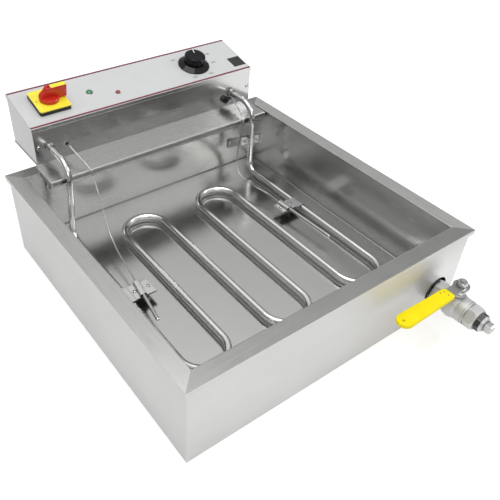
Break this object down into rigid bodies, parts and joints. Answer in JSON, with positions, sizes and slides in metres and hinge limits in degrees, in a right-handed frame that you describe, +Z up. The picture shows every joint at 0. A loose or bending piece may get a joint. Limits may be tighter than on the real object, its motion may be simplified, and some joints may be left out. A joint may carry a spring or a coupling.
{
  "type": "funnel cake fryer",
  "caption": "Countertop electric fryer with a square double-walled tank, looped tube heater on a lift-off control head, and a ball-valve drain.",
  "frame": {"origin": "centre of the tank's square footprint, on the surface it stands on", "axes": "+Z up; the drain valve's wall faces -Y; the control head stands over the rear edge, at +Y; +X is to the right seen from the drain side"},
  "size_m": [0.61, 0.8358, 0.3048],
  "materials": {
    "outer_casing": "brushed",
    "inner_tank": "bright brushed",
    "bottom_pan": "mill",
    "drain_coupling": "machined",
    "drain_nipple": "machined",
    "valve_body": "cast, polished",
    "valve_end": "cast, machined",
    "valve_seats": "smooth",
    "packing_nut": "machined",
    "reducing_bushing": "machined",
    "drain_plug": "machined",
    "valve_ball": "polished",
    "valve_stem": "machined",
    "valve_lever": "rolled sheet",
    "lever_sleeve": "dipped vinyl",
    "lever_nut": "plated",
    "base_plate": "brushed",
    "hook_plate": "brushed",
    "head_housing": "bright brushed",
    "panel_lid": "brushed",
    "panel_overlay": "satin film",
    "housing_screws": "plated",
    "switch_base": "fine grain",
    "switch_plate": "smooth",
    "switch_contacts": "moulded",
    "switch_handle": "moulded",
    "handle_strip": "smooth",
    "lamp_bezels": "plated",
    "green_lamp": "translucent",
    "red_lamp": "translucent",
    "thermostat_body": "plated sheet",
    "thermostat_shaft": "turned",
    "control_knob": "moulded",
    "knob_skirt": "polished",
    "limit_switch": "moulded",
    "reset_collar": "plated",
    "reset_button": "glossy boot",
    "contactor": "moulded",
    "terminal_block": "moulded",
    "heating_element": "polished steel sheath",
    "heater_pins": "turned",
    "entry_fittings": "machined",
    "entry_nuts": "machined",
    "capillary_grommets": "matte",
    "thermostat_bulb": "drawn",
    "thermostat_capillary": "drawn",
    "limit_bulb": "drawn",
    "limit_capillary": "drawn",
    "left_clamp": "sheet",
    "right_clamp": "sheet",
    "clamp_covers": "sheet",
    "riser_bracket": "sheet",
    "riser_strap": "sheet",
    "clamp_screws": "plated"
  },
  "bodies": {
    "tank": {"outer_casing": "outer_casing", "inner_tank": "inner_tank", "bottom_pan": "bottom_pan", "drain_coupling": "drain_coupling", "drain_nipple": "drain_nipple", "valve_body": "valve_body", "valve_end": "valve_end", "valve_seats": "valve_seats", "packing_nut": "packing_nut", "reducing_bushing": "reducing_bushing"},
    "drain_plug": {"drain_plug": "drain_plug"},
    "drain_lever": {"valve_ball": "valve_ball", "valve_stem": "valve_stem", "valve_lever": "valve_lever", "lever_sleeve": "lever_sleeve", "lever_nut": "lever_nut"},
    "head": {"base_plate": "base_plate", "hook_plate": "hook_plate", "head_housing": "head_housing", "panel_lid": "panel_lid", "panel_overlay": "panel_overlay", "housing_screws": "housing_screws", "switch_base": "switch_base", "switch_plate": "switch_plate", "switch_contacts": "switch_contacts", "lamp_bezels": "lamp_bezels", "green_lamp": "green_lamp", "red_lamp": "red_lamp", "thermostat_body": "thermostat_body", "limit_switch": "limit_switch", "reset_collar": "reset_collar", "contactor": "contactor", "terminal_block": "terminal_block", "heating_element": "heating_element", "heater_pins": "heater_pins", "entry_fittings": "entry_fittings", "entry_nuts": "entry_nuts", "capillary_grommets": "capillary_grommets", "thermostat_bulb": "thermostat_bulb", "thermostat_capillary": "thermostat_capillary", "limit_bulb": "limit_bulb", "limit_capillary": "limit_capillary", "left_clamp": "left_clamp", "right_clamp": "right_clamp", "clamp_covers": "clamp_covers", "riser_bracket": "riser_bracket", "riser_strap": "riser_strap", "clamp_screws": "clamp_screws"},
    "power_switch": {"switch_handle": "switch_handle", "handle_strip": "handle_strip"},
    "thermostat_knob": {"control_knob": "control_knob", "knob_skirt": "knob_skirt", "thermostat_shaft": "thermostat_shaft"},
    "reset_button": {"reset_button": "reset_button"}
  },
  "joints": [
    {"name": "head_lift", "type": "slide", "parent": "tank", "child": "head", "axis": [0, 0, 1], "range_m": [0, 0.25]},
    {"name": "drain_lever_turn", "type": "hinge", "parent": "tank", "child": "drain_lever", "pos_m": [0.2485, -0.343, 0.056], "axis": [0, 0, 1], "range_deg": [0, 90]},
    {"name": "plug_unscrew", "type": "slide", "parent": "tank", "child": "drain_plug", "axis": [0, -1, 0], "range_m": [0, 0.03]},
    {"name": "power_switch_turn", "type": "hinge", "parent": "head", "child": "power_switch", "pos_m": [-0.177, 0.35784, 0.26624], "axis": [0, -0.23, 0.9732], "range_deg": [-90, 0]},
    {"name": "thermostat_turn", "type": "hinge", "parent": "head", "child": "thermostat_knob", "pos_m": [0.1612, 0.35619, 0.26585], "axis": [0, -0.23, 0.9732], "range_deg": [-300, 0]},
    {"name": "reset_press", "type": "slide", "parent": "head", "child": "reset_button", "axis": [0, 1, 0], "range_m": [0, 0.0025], "stiffness_N_per_m": 800, "springref_m": -0.002}
  ]
}
